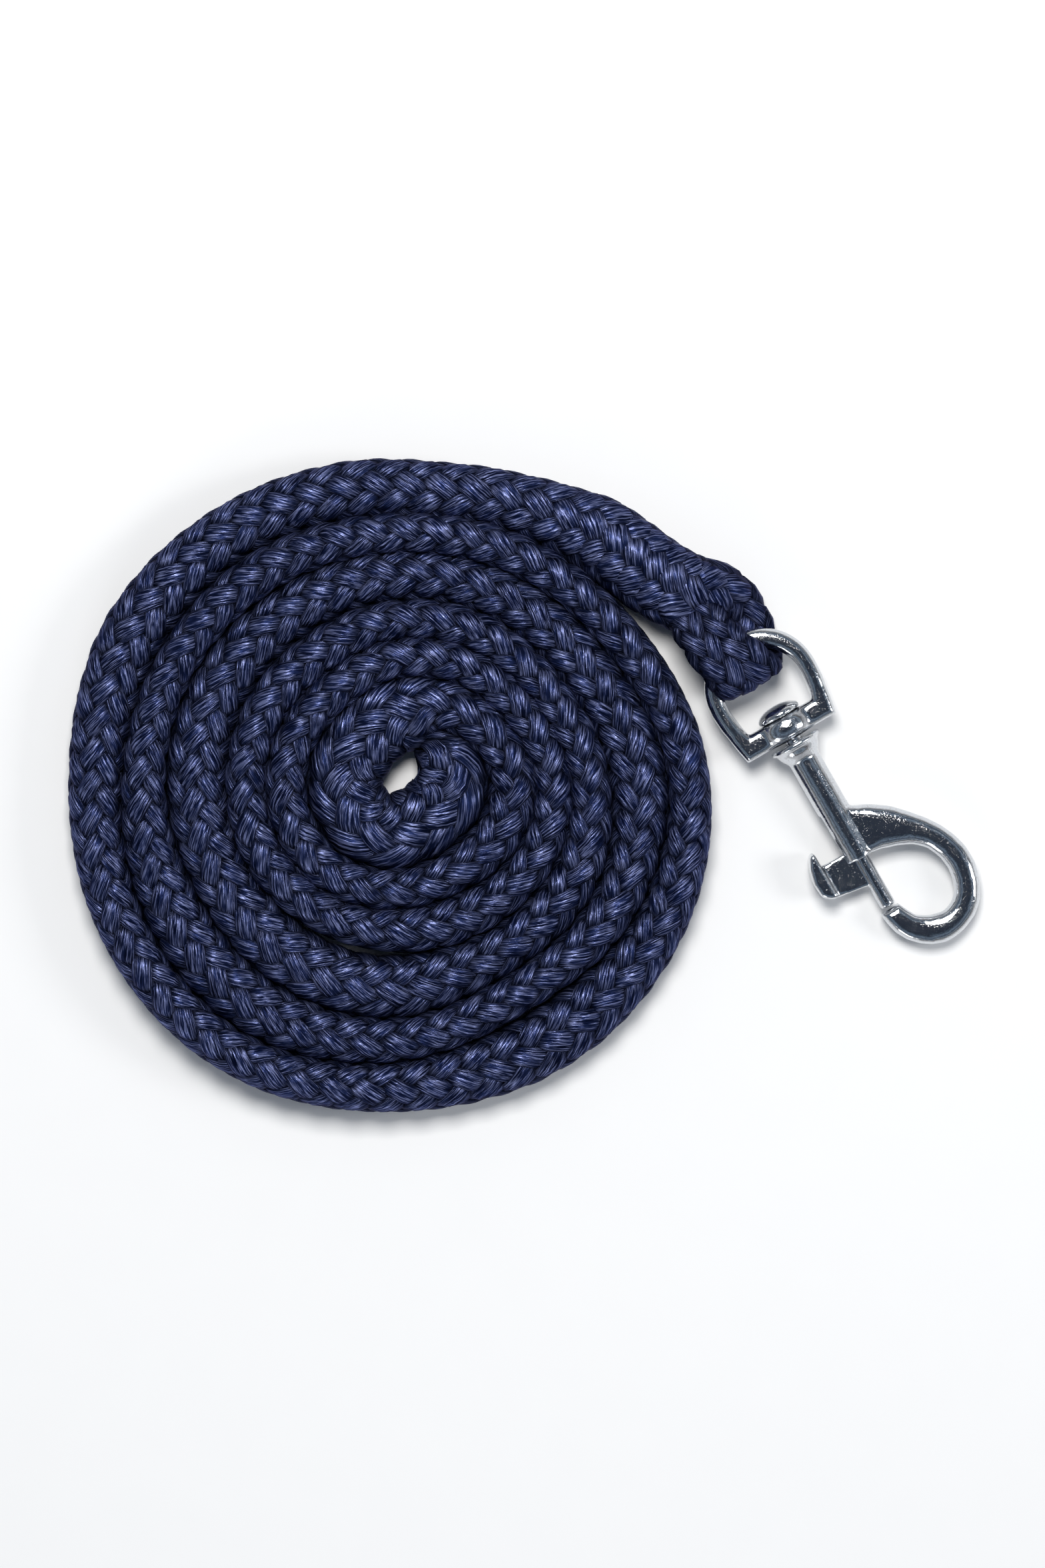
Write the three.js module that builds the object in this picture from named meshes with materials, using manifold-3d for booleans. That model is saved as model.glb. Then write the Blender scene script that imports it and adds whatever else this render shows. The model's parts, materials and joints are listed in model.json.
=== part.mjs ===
// A horse's lead rope: a braided rope wound flat on a table, with a swivel bolt snap at its end.
// Millimetres, +Z up. The snap lies along +X, on its collar rim and on the far edge of its hook.
// The origin is under the middle of the snap, on the surface that everything lies on.
import * as THREE from "three";
import { mergeVertices } from "three/addons/utils/BufferGeometryUtils.js";
import Module from "manifold-3d";

const wasm = await Module();
wasm.setup();

// Clearances
const GAP = 0.3; // between pieces that touch
const LOOP_GAP = 0.9; // between the rope's eye and the bar that it goes round

// Swivel snap, in its own frame: x along the barrel from the collar's rim, y towards the hook
const COLLAR_R = 8.2; // rim that the swivel eye turns against
const COLLAR_BACK = -1.0; // rear face of the rim
const BARREL_R = 4.9;
const BARREL_LENGTH = 39.5; // from the rim to the open end
const BORE_FLOOR = 7.5; // where the bore for the bolt and its spring starts
const HOOK_THICK = 7.6; // across the plane of the hook
const HOOK_REACH = 34.7; // from the barrel's open end to the outside of the bow
const HOOK_ROUND = 2.4; // rounding of the hook's edges
const BOLT_R = 2.4;
const BOLT_PLAY = 0.35; // between the bolt and its bore
const BOLT_TRAVEL = 12.5;
const BOLT_IN_BARREL = 14.0; // length of the bolt inside the barrel when it is shut
const LUG_IN_BARREL = 3.5; // length of the neck inside the slot when it is shut
const LUG_LENGTH = 12.2; // neck, along the barrel
const LUG_THICK = 3.0; // neck, across
const LUG_DROP = 6.9; // from the outside of the barrel to the underside of the thumb pad
const PAD_LENGTH = 15.4;
const PAD_DEPTH = 4.5;
const PAD_WIDTH = 9.0;
const SPRING_WIRE_R = 0.35;
const SPRING_TURNS = 6.5;

// Swivel eye and its rivet
const EYE_FRONT = -2.0; // face next to the collar
const EYE_BAR = 7.2; // thickness of the base bar, along x
const EYE_W = 34.6; // greatest width
const EYE_TAPER = 4.2; // how much narrower the base is
const EYE_LENGTH = 35.3; // from the front face to the top of the bow
const EYE_SIDE = 4.9; // thickness of the sides
const EYE_BOW = 5.8; // thickness of the bow's top
const EYE_THICK = 5.6; // across the plane of the eye
const EYE_ROUND = 1.9; // rounding of the eye's edges
const EYE_BOSS = 2.3; // wall of the bulge round the rivet's hole
const RIVET_R = 2.6;
const RIVET_BRIM = 4.3; // how far the head reaches past the shank
const RIVET_HEAD = 3.6; // height of the head
const RIVET_END = 5.8; // where the shank ends inside the barrel

// Rope
const COIL_PITCH = 14.5; // from turn to turn, pressed together
const COIL_FIRST = 17.5; // radius of the innermost turn's centreline
const COIL_TURNS = 6; // the last of them opens into the lead
const COIL_HEIGHT = 17.0; // squeezed turns stand a little taller
const COIL_HOLE = 6.0; // radius of the open middle
const COIL_X = -51.1; // centre of the coil, in the snap's plan
const COIL_Y = -109.5;
const COIL_STEP = 9; // degrees between points of the outer turn
const OUTER_FROM = 68; // degrees, where the outer turn has come out of the coil
const OUTER_TO = -217; // degrees, where it opens into the lead
const SPLICE_W = 22.4;
const SPLICE_H = 19.6;
const LOOP_ROOM = 8.8; // how much narrower the loop is than the eye, inside
const LOOP_BACK = 12.5; // from the bow's bar to the throat of the splice

// The lead from the outer turn to the splice, and the splice: x and y in the snap's plan
const LEAD_ROUTE = [
  [-104.2, -34.4],
  [-94.0, -24.3],
  [-86.6, -17.4],
];
const SPLICE_ROUTE = [
  [-85.2, -16.1],
  [-78.0, -10.9],
  [-68.0, -7.4],
  [-58.0, -4.2],
  [-52.5, -2.8],
];
const SPLICE_END_Y = -2.6; // where the splice meets the eye's two legs

const NAVY = { color: 0x1b2348, roughness: 0.55, metalness: 0.0 };
const NICKEL = { color: 0xc9cbd0, roughness: 0.12, metalness: 1.0 };
const STEEL = { color: 0x9a9ca0, roughness: 0.3, metalness: 1.0 };

// Geometry helpers

function closed(geometry) {
  const bare = geometry.index ? geometry.toNonIndexed() : geometry.clone();
  bare.deleteAttribute("normal");
  bare.deleteAttribute("uv");
  return mergeVertices(bare, 1e-4);
}

function solid(geometry) {
  const merged = closed(geometry);
  const make = (triVerts) =>
    new wasm.Manifold(
      new wasm.Mesh({
        numProp: 3,
        vertProperties: merged.attributes.position.array,
        triVerts,
      }),
    );
  const made = make(new Uint32Array(merged.index.array));
  if (made.volume() > 0) return made;
  return make(new Uint32Array(merged.index.array).reverse());
}

function geometryOf(manifold) {
  const mesh = manifold.getMesh();
  const geometry = new THREE.BufferGeometry();
  geometry.setAttribute("position", new THREE.BufferAttribute(mesh.vertProperties, 3));
  geometry.setIndex(new THREE.BufferAttribute(mesh.triVerts, 1));
  return geometry;
}

function piece(name, manifold, finish) {
  const geometry = geometryOf(manifold).toNonIndexed();
  geometry.computeVertexNormals();
  const mesh = new THREE.Mesh(geometry, new THREE.MeshStandardMaterial(finish));
  mesh.name = name;
  return mesh;
}

// A turned shape along +X from [x, radius] points that start and end on the axis.
function turned(profile, sides = 32) {
  const points = profile.map(([x, r]) => new THREE.Vector2(r, x));
  return solid(new THREE.LatheGeometry(points, sides).rotateZ(-Math.PI / 2));
}

// A flat outline of the XY plane, thick across it and rounded on its edges.
function rounded(shape, thick, round, segments = 3, curve = 16) {
  const geometry = new THREE.ExtrudeGeometry(shape, {
    depth: thick - 2 * round,
    bevelEnabled: true,
    bevelThickness: round,
    bevelSize: round,
    bevelOffset: -round,
    bevelSegments: segments,
    curveSegments: curve,
  });
  return solid(geometry.translate(0, 0, round - thick / 2));
}

// A tube of elliptical section: high across the surface it lies on, wide along it.
function tube(points, high, wide, steps, sides = 12) {
  const section = new THREE.Shape();
  section.absellipse(0, 0, high / 2, wide / 2, 0, 2 * Math.PI);
  const path = new THREE.CatmullRomCurve3(points, false, "centripetal");
  return solid(
    new THREE.ExtrudeGeometry(section, { steps, curveSegments: sides, extrudePath: path }),
  );
}

// Sizes that follow from the ones above
const BORE_R = BOLT_R + BOLT_PLAY;
const BOLT_BACK = BARREL_LENGTH - BOLT_IN_BARREL;
const LUG_REAR = BARREL_LENGTH - LUG_IN_BARREL;
const LUG_FOOT = -BARREL_R - LUG_DROP;
const RIVET_HEAD_R = RIVET_R + RIVET_BRIM;
const EYE_BOSS_R = RIVET_R + GAP + EYE_BOSS;

// Swivel snap

function barrel() {
  return turned([
    [COLLAR_BACK, 0],
    [COLLAR_BACK, COLLAR_R - 0.7],
    [COLLAR_BACK + 0.5, COLLAR_R],
    [COLLAR_BACK + 1.4, COLLAR_R],
    [COLLAR_BACK + 1.9, COLLAR_R - 1.1],
    [COLLAR_BACK + 3.8, COLLAR_R - 1.8],
    [COLLAR_BACK + 5.4, BARREL_R + 0.4],
    [COLLAR_BACK + 6.2, BARREL_R],
    [BARREL_LENGTH, BARREL_R],
    [BARREL_LENGTH, 0],
  ]);
}

// The hook's outline, from the barrel's open end, for a reach of 1.
const HOOK_OUTSIDE = [
  [-0.467, 0.09],
  [-0.303, 0.375],
  [-0.133, 0.55],
  [0.063, 0.706],
  [0.254, 0.798],
  [0.478, 0.836],
  [0.738, 0.767],
  [0.905, 0.628],
  [0.988, 0.444],
  [1.0, 0.277],
  [0.948, 0.13],
  [0.824, -0.003],
  [0.671, -0.078],
  [0.513, -0.095],
];
const HOOK_INSIDE = [
  [0.507, 0.084],
  [0.599, 0.127],
  [0.709, 0.199],
  [0.778, 0.363],
  [0.744, 0.49],
  [0.654, 0.576],
  [0.519, 0.62],
  [0.366, 0.614],
  [0.202, 0.545],
  [0.095, 0.418],
  [0.037, 0.259],
  [0.009, 0.112],
  [0.0, 0.02],
];

function hook() {
  const at = ([x, y]) => new THREE.Vector2(BARREL_LENGTH + x * HOOK_REACH, y * HOOK_REACH);
  const outside = new THREE.SplineCurve(HOOK_OUTSIDE.map(at)).getPoints(20);
  const inside = new THREE.SplineCurve(HOOK_INSIDE.map(at)).getPoints(15);
  const inBarrel = [
    new THREE.Vector2(inside.at(-1).x, -BARREL_R / 2),
    new THREE.Vector2(outside[0].x, -BARREL_R / 2),
  ];
  return rounded(new THREE.Shape([...outside, ...inside, ...inBarrel]), HOOK_THICK, HOOK_ROUND);
}

function slotStart() {
  return LUG_REAR - BOLT_TRAVEL - 2 * GAP;
}

function hookBody() {
  const past = 2; // how far a cut runs past the face it opens
  const bore = turned([
    [BORE_FLOOR, 0],
    [BORE_FLOOR, BORE_R],
    [BARREL_LENGTH + past, BORE_R],
    [BARREL_LENGTH + past, 0],
  ]);
  const rivetHole = turned([
    [COLLAR_BACK - past, 0],
    [COLLAR_BACK - past, RIVET_R + GAP],
    [RIVET_END + GAP, RIVET_R + GAP],
    [RIVET_END + GAP, 0],
  ]);
  const length = BARREL_LENGTH + past - slotStart();
  const slot = solid(
    new THREE.BoxGeometry(length, BARREL_R + past, LUG_THICK + 2 * GAP).translate(
      slotStart() + length / 2,
      -(BARREL_R + past) / 2,
      0,
    ),
  );
  return barrel().add(hook()).subtract(bore).subtract(rivetHole).subtract(slot);
}

function boltTip() {
  return BARREL_LENGTH + HOOK_INSIDE[0][0] * HOOK_REACH - 2 * GAP;
}

// The thumb pad's outline, from its rear end, for a length and a depth of 1.
const PAD_OUTLINE = [
  [1.0, 0.0],
  [0.0, 0.0],
  [0.03, 0.35],
  [0.25, 0.75],
  [0.55, 1.0],
  [0.83, 0.95],
  [0.94, 0.55],
];

// Pin, neck and thumb pad in one casting.
function bolt() {
  const tip = boltTip();
  const pin = turned([
    [BOLT_BACK, 0],
    [BOLT_BACK, BOLT_R],
    [tip - 0.6, BOLT_R],
    [tip, BOLT_R - 0.6],
    [tip, 0],
  ]);
  const neckTop = -BOLT_R / 2;
  const front = LUG_REAR + LUG_LENGTH;
  const neck = new THREE.Shape([
    new THREE.Vector2(LUG_REAR, neckTop),
    new THREE.Vector2(LUG_REAR, LUG_FOOT - 1),
    new THREE.Vector2(front - 1.8, LUG_FOOT - 1),
    new THREE.Vector2(front, neckTop),
  ]);
  const rear = front - 1.7 - PAD_LENGTH;
  const onPad = ([x, y]) => new THREE.Vector2(rear + x * PAD_LENGTH, LUG_FOOT - y * PAD_DEPTH);
  const pad = new THREE.Shape(PAD_OUTLINE.map(onPad));
  return pin.add(rounded(neck, LUG_THICK, 0.4, 1)).add(rounded(pad, PAD_WIDTH, 0.7, 2));
}

function boltSpring() {
  const from = BORE_FLOOR + GAP + SPRING_WIRE_R;
  const length = BOLT_BACK - GAP - SPRING_WIRE_R - from;
  const radius = BORE_R - GAP - SPRING_WIRE_R;
  const perTurn = 12;
  const steps = Math.round(SPRING_TURNS * perTurn);
  const points = [];
  for (let i = 0; i <= steps; i++) {
    const turn = (2 * Math.PI * i) / perTurn;
    const x = from + (length * i) / steps;
    points.push(new THREE.Vector3(x, radius * Math.cos(turn), radius * Math.sin(turn)));
  }
  return tube(points, 2 * SPRING_WIRE_R, 2 * SPRING_WIRE_R, steps, 6);
}

// Swivel eye: a D with a thick base bar that the rivet goes through

function eyeCentre() {
  return EYE_FRONT - EYE_LENGTH + EYE_W / 2;
}

function bowMiddle() {
  return EYE_FRONT - EYE_LENGTH + EYE_BOW / 2;
}

function swivelEye() {
  const half = EYE_W / 2;
  const base = (EYE_W - EYE_TAPER) / 2;
  const centre = eyeCentre();
  const bend = centre + 0.45 * (EYE_FRONT - centre);
  const outline = new THREE.Shape();
  outline.moveTo(EYE_FRONT, -base);
  outline.lineTo(EYE_FRONT, base);
  outline.quadraticCurveTo(bend, half, centre, half);
  outline.absarc(centre, 0, half, Math.PI / 2, (3 * Math.PI) / 2, false);
  outline.quadraticCurveTo(bend, -half, EYE_FRONT, -base);
  const inner = half - EYE_SIDE;
  const back = EYE_FRONT - EYE_BAR;
  const foot = base - EYE_SIDE + 0.4;
  const top = EYE_FRONT - EYE_LENGTH + EYE_BOW + inner;
  const window = new THREE.Path();
  window.moveTo(back, -foot);
  window.quadraticCurveTo(bend - 2, -inner, top, -inner);
  window.absarc(top, 0, inner, (3 * Math.PI) / 2, Math.PI / 2, true);
  window.quadraticCurveTo(bend - 2, inner, back, foot);
  outline.holes.push(window);
  const boss = turned([
    [back, 0],
    [back, EYE_BOSS_R - 1.2],
    [back + 1.2, EYE_BOSS_R],
    [EYE_FRONT - 1.2, EYE_BOSS_R],
    [EYE_FRONT, EYE_BOSS_R - 1.2],
    [EYE_FRONT, 0],
  ]);
  const hole = turned([
    [back - 2, 0],
    [back - 2, RIVET_R + GAP],
    [EYE_FRONT + 2, RIVET_R + GAP],
    [EYE_FRONT + 2, 0],
  ]);
  return rounded(outline, EYE_THICK, EYE_ROUND, 3, 12).add(boss).subtract(hole);
}

function swivelRivet() {
  const seat = EYE_FRONT - EYE_BAR - GAP;
  const dome = [];
  const steps = 6;
  for (let i = 0; i <= steps; i++) {
    const a = (i / steps) * (Math.PI / 2);
    dome.push([seat - 0.7 - (RIVET_HEAD - 0.7) * Math.cos(a), RIVET_HEAD_R * Math.sin(a)]);
  }
  return turned([
    ...dome,
    [seat, RIVET_HEAD_R - 0.4],
    [seat, RIVET_R],
    [RIVET_END, RIVET_R],
    [RIVET_END, 0],
  ]);
}

// Rope

// The radius of a turn's centreline, counted from 0 at the inside.
function coilRadius(turn) {
  return COIL_FIRST + COIL_PITCH * turn;
}

function ropeCoil() {
  const radius = coilRadius(COIL_TURNS - 2) + COIL_PITCH / 2 - 3 * GAP;
  const soft = COIL_HEIGHT / 4;
  const high = COIL_HEIGHT;
  const profile = [
    [COIL_HOLE, soft],
    [COIL_HOLE + soft, 0],
    [radius - soft, 0],
    [radius - soft / 4, soft / 2],
    [radius, 1.5 * soft],
    [radius, high - 1.5 * soft],
    [radius - soft / 4, high - soft / 2],
    [radius - soft, high],
    [COIL_HOLE + soft, high],
    [COIL_HOLE, high - soft],
    [COIL_HOLE, soft],
  ].map(([r, z]) => new THREE.Vector2(r, z));
  const ring = new THREE.LatheGeometry(profile, 72).rotateX(Math.PI / 2);
  return solid(ring.translate(COIL_X, COIL_Y, 0));
}

function outerTurn() {
  const radius = coilRadius(COIL_TURNS - 1);
  const points = [];
  for (let a = OUTER_FROM; a >= OUTER_TO; a -= COIL_STEP) {
    const turn = THREE.MathUtils.degToRad(a);
    const x = COIL_X + radius * Math.cos(turn);
    const y = COIL_Y + radius * Math.sin(turn);
    points.push(new THREE.Vector3(x, y, COIL_HEIGHT / 2));
  }
  return points;
}

function laid(route, z) {
  return route.map(([x, y]) => new THREE.Vector3(x, y, z));
}

function ropeLead() {
  const points = [...outerTurn(), ...laid(LEAD_ROUTE, COIL_HEIGHT / 2)];
  return tube(points, COIL_HEIGHT, COIL_PITCH, 48, 12);
}

function ropeSplice(bow) {
  const route = [...SPLICE_ROUTE, [bow.x - LOOP_BACK - 2 * GAP, SPLICE_END_Y]];
  return tube(laid(route, SPLICE_H / 2), SPLICE_H, SPLICE_W, 12, 12);
}

// The rope pressed flat under the bow, up through the eye and back over the bow.
function ropeEye(bow) {
  const bar = Math.max(EYE_BOW, EYE_THICK) / 2 + LOOP_GAP;
  const thick = bow.z - bar;
  const radius = bar + thick / 2;
  const points = [];
  const legs = [LOOP_BACK, 0.55 * LOOP_BACK, 0.1 * LOOP_BACK];
  for (const back of legs) {
    points.push(new THREE.Vector3(bow.x - back, 0, bow.z - radius));
  }
  for (let a = -75; a <= 75; a += 25) {
    const turn = THREE.MathUtils.degToRad(a);
    const x = bow.x + radius * Math.cos(turn);
    points.push(new THREE.Vector3(x, 0, bow.z + radius * Math.sin(turn)));
  }
  for (const back of legs.toReversed()) {
    points.push(new THREE.Vector3(bow.x - back, 0, bow.z + radius));
  }
  return tube(points, thick, EYE_W - 2 * EYE_SIDE - LOOP_ROOM, 26, 12);
}

// Assembly

const snap = new THREE.Group();
snap.add(piece("hook_body", hookBody(), NICKEL));
snap.add(piece("bolt", bolt(), NICKEL));
snap.add(piece("bolt_spring", boltSpring(), STEEL));
snap.add(piece("swivel_eye", swivelEye(), NICKEL));
snap.add(piece("swivel_rivet", swivelRivet(), NICKEL));

// The snap rests on its collar rim and on the flat of the hook's far end.
const restEnd = BARREL_LENGTH + HOOK_REACH - HOOK_ROUND;
const tilt = Math.atan2(COLLAR_R - HOOK_THICK / 2, restEnd - COLLAR_BACK - 1);
snap.rotation.y = tilt;
snap.position.z = COLLAR_R * Math.cos(tilt);
snap.updateMatrixWorld(true);
const bow = snap.localToWorld(new THREE.Vector3(bowMiddle(), 0, 0));

const rope = new THREE.Group();
rope.add(piece("rope_coil", ropeCoil(), NAVY));
rope.add(piece("rope_lead", ropeLead(), NAVY));
rope.add(piece("rope_splice", ropeSplice(bow), NAVY));
rope.add(piece("rope_eye", ropeEye(bow), NAVY));

const leadRope = new THREE.Group();
leadRope.add(snap, rope);

// The origin goes under the middle of the snap.
const box = new THREE.Box3().setFromObject(snap, true);
leadRope.position.set(-(box.min.x + box.max.x) / 2, -(box.min.y + box.max.y) / 2, -box.min.z);

export default leadRope;
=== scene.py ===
# %% [markdown]
# A lead rope: a navy braided rope wound flat on the floor, spliced round the swivel eye of a nickel-plated
# bolt snap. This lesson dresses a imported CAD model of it. The CAD model is the frame: it says where every
# part is and how it moves, so each piece made here takes its place from the frame and rides on its body.
# %% Load the frame
import json
import math

import bmesh
import bpy
import numpy as np
from mathutils import Matrix, Vector

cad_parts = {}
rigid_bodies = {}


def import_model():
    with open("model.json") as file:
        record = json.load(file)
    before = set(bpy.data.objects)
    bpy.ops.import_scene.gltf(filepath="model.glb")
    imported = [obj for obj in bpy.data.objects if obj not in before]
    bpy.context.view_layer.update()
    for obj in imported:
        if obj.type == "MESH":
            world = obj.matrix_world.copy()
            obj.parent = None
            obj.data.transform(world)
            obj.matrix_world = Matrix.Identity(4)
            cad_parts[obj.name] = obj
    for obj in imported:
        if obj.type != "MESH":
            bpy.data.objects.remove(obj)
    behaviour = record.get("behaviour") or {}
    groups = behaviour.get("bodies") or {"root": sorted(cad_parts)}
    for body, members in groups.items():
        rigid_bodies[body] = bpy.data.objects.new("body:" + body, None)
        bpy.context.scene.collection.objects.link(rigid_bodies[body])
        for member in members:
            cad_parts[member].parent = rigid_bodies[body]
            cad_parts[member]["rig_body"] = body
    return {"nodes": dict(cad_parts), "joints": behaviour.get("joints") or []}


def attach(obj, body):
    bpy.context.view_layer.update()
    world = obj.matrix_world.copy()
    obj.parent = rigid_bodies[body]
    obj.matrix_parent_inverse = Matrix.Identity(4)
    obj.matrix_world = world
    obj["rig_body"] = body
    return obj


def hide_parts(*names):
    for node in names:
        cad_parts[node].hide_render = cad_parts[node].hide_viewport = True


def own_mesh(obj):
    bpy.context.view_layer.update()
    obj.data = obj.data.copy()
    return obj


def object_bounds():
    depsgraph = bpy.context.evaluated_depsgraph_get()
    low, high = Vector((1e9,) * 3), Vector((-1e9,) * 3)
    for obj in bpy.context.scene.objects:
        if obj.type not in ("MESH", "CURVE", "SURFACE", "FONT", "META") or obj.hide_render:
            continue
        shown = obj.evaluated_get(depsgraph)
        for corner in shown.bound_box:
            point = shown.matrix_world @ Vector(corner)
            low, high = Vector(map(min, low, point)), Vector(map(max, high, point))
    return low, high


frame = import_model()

MM = 0.001
cad_low, cad_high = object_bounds()
middle = (cad_low + cad_high) / 2
joints = {joint["name"]: joint for joint in frame["joints"]}
print("CAD box", [round(x, 4) for x in cad_low], [round(x, 4) for x in cad_high])

# %% [markdown]
# The camera looks straight down, as one looks at a rope laid out on a table. A long lens two metres away
# keeps the coil round. The right-hand side of the view is turned sixty degrees from the snap's own axis.
# %% The camera
CAMERA_TURN = math.radians(60)
CAMERA_HEIGHT = 2.0
VIEW_HEIGHT = 0.4704
VIEW_SHIFT = Vector((0.0065, 0.0119, 0))
SENSOR_WIDTH = 36
SEE_AS_FAR_AS = 20

camera_data = bpy.data.cameras.new("camera")
camera_data.sensor_width = SENSOR_WIDTH
camera_data.lens = SENSOR_WIDTH * CAMERA_HEIGHT / VIEW_HEIGHT
camera_data.clip_end = SEE_AS_FAR_AS
camera = bpy.data.objects.new("camera", camera_data)
camera.location = middle + VIEW_SHIFT
camera.location.z = CAMERA_HEIGHT + middle.z
camera.rotation_euler = (0, 0, CAMERA_TURN)
bpy.context.scene.collection.objects.link(camera)
bpy.context.scene.camera = camera
print("camera at", [round(x, 3) for x in camera.location], "lens", round(camera_data.lens, 1), "mm")

# %% [markdown]
# The rope's route. A real lead rope is one length of braid: its tail comes out of the splice, goes over the
# bow of the eye, down through the window, back under the bow and on as the standing part, then round the
# coil to its bare end in the middle. So the route here is one line too, from the throat of the splice to
# the end. Each point has its place from the swivel (along the snap, across it, up, in millimetres), the
# half width and half height of the rope there, and the length of one turn of its strands.
# %% The loop, the splice and the lead
swivel_at = Vector(joints["swivel"]["pos_m"])
ROUTE = [
    # along, across, up, half width, half height, lay
    (-61, -9.5, 8.0, 6.0, 2.4, 64),
    (-55, -8.2, 11.2, 7.4, 3.0, 64),
    (-49, -7.6, 14.6, 8.3, 3.6, 64),
    (-43.5, -7.2, 16.8, 8.9, 3.7, 64),
    (-37.5, -6.3, 17.8, 9.5, 3.7, 66),
    (-31.5, -4.9, 17.2, 10.2, 3.9, 66),
    (-26.9, -3.6, 14.4, 10.8, 4.6, 66),
    (-25.1, -2.6, 10.3, 11.2, 4.9, 66),
    (-26.7, -1.0, 6.3, 11.0, 4.3, 66),
    (-31.5, 1.2, 3.8, 10.8, 3.5, 66),
    (-38, 3.0, 3.5, 10.6, 3.4, 64),
    (-44.2, 3.0, 4.6, 10.6, 4.5, 60),
    (-49.8, 0.6, 7.8, 11.2, 7.8, 56),
    (-55.4, -5.8, 9.9, 12.0, 9.9, 54),
    (-64.0, -11.1, 10.0, 12.1, 9.9, 54),
    (-73.5, -15.4, 9.8, 12.1, 9.7, 56),
    (-83.5, -20.0, 9.2, 11.8, 9.2, 62),
    (-93.4, -27.2, 8.6, 10.5, 8.6, 72),
    (-103.0, -35.5, 8.4, 9.4, 8.4, 78),
    (-112.8, -45.9, 8.4, 8.7, 8.4, 78),
]
print("route points before the coil", len(ROUTE))

# %% [markdown]
# The coil is wound by hand, so no two turns are equally wide: a turn that is squeezed stands up tall and
# its neighbour spreads. One list gives how far from the middle (mm) the gap between turns lies, every
# thirty degrees, unrolled from the middle outwards. Between an entry and the twelfth after it lies the rope.
# %% Where the coil's gaps lie
COIL_CENTRE = (-51.1, -109.5)
GAP_STEP = 30
GAP_FIRST = -60
GAPS = [
    2.4, 3, 1.6, 1.6, 2.0, 2.8, 2.8, 2.2, 1.8, 1.8, 2.2, 5.0, 17.0, 24,
    28.4, 27.8, 26.8, 27.8, 28.2, 27.2, 26.8, 26.2, 27.2, 30.8, 34.4, 38,
    43.2, 42.8, 39.2, 38.8, 39.8, 39.8, 38.8, 37.2, 36.8, 41.2, 44.8, 47.8,
    52.2, 54, 53.2, 51.8, 50.8, 50.8, 50.2, 50.2, 50.8, 53.2, 55.8, 57.2,
    64.2, 69, 68, 72, 71.2, 68.8, 68.8, 68, 67.2, 69, 71.2, 74.8,
    82.2, 83.2, 80, 84.8, 88.8, 86.2, 81.6, 80, 80, 78, 82.2, 86.2,
    94.2, 98.6, 100.2, 99.8, 101.6, 100.2, 97.8, 99, 97, 96, 98,
]
SHORT_OF_LAST = 1.000001


def smooth_between(values, at):
    """Catmull-Rom interpolation of a list at fractional places."""
    values = np.asarray(values, float)
    at = np.clip(at, 0, len(values) - SHORT_OF_LAST)
    i = np.floor(at).astype(int)
    f = at - i
    if values.ndim > 1:
        f = f[..., None]
    p0, p1 = values[np.maximum(i - 1, 0)], values[i]
    p2, p3 = values[np.minimum(i + 1, len(values) - 1)], values[np.minimum(i + 2, len(values) - 1)]
    a, b = 2 * p1, p2 - p0
    c, d = 2 * p0 - 5 * p1 + 4 * p2 - p3, 3 * p1 - p0 - 3 * p2 + p3
    return 0.5 * (a + b * f + c * f * f + d * f * f * f)


def gap_at(turned):
    """How far from the middle a gap lies, after a number of degrees of winding."""
    return float(smooth_between(GAPS, (turned - GAP_FIRST) / GAP_STEP))


print("gaps given", len(GAPS), "at the rope's end", round(gap_at(0), 2), "mm")

# %% [markdown]
# From the gaps come the rope's own points. It fills the room between its two gaps, up to the width that
# such a rope can spread to, and stands as tall as its area then asks.
# %% The coil
COIL_IN = -56
COIL_OUT = 5 * 360 + 268
COIL_STEP = 12.0
INSIDE_TURN = 330
WIDEST, WIDEST_INSIDE, NARROWEST = 9.6, 11.8, 6.2
LOWEST, TALLEST = 7.6, 9.2
ROPE_AREA = 62.0
COIL_LAY = 78
PRESS_IN = 0.1
PRESS_OUT = 0.3

coil_points = []
for turned in np.arange(COIL_OUT, COIL_IN - 0.1, -COIL_STEP):
    inner, outer = gap_at(turned), gap_at(turned + 360)
    widest = WIDEST_INSIDE if turned < INSIDE_TURN else WIDEST
    half = min(max((outer - inner) / 2 + PRESS_IN, NARROWEST), widest)
    tall = min(max(ROPE_AREA / half, LOWEST), TALLEST)
    radius = max((inner + outer) / 2, outer - widest + PRESS_OUT)
    angle = CAMERA_TURN - math.radians(turned)
    along = COIL_CENTRE[0] + radius * math.cos(angle)
    across = COIL_CENTRE[1] + radius * math.sin(angle)
    coil_points.append((along, across, tall, half, tall, COIL_LAY))
route = np.array(ROUTE + coil_points)
print("route points with the coil", len(route))

# %% [markdown]
# A smooth line through the points, relaxed a little, then even steps along it.
# %% The centreline
FINE_STEP = 0.5
POINTS_BETWEEN = 24
TIMES_RELAXED = 6

dense = smooth_between(route, np.linspace(0, len(route) - 1, POINTS_BETWEEN * len(route)))
dense[:, :2] += np.array(swivel_at[:2]) / MM
for _ in range(TIMES_RELAXED):
    dense[1:-1] = (dense[:-2] + 2 * dense[1:-1] + dense[2:]) / 4
travelled = np.concatenate([[0], np.cumsum(np.linalg.norm(np.diff(dense[:, :3], axis=0), axis=1))])
ROPE_LENGTH = float(travelled[-1])
line_at = np.linspace(0, ROPE_LENGTH, int(ROPE_LENGTH / FINE_STEP) + 1)
line = np.stack([np.interp(line_at, travelled, dense[:, k]) for k in range(6)], axis=1)
print("rope length", round(ROPE_LENGTH * MM, 4), "m")

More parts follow.
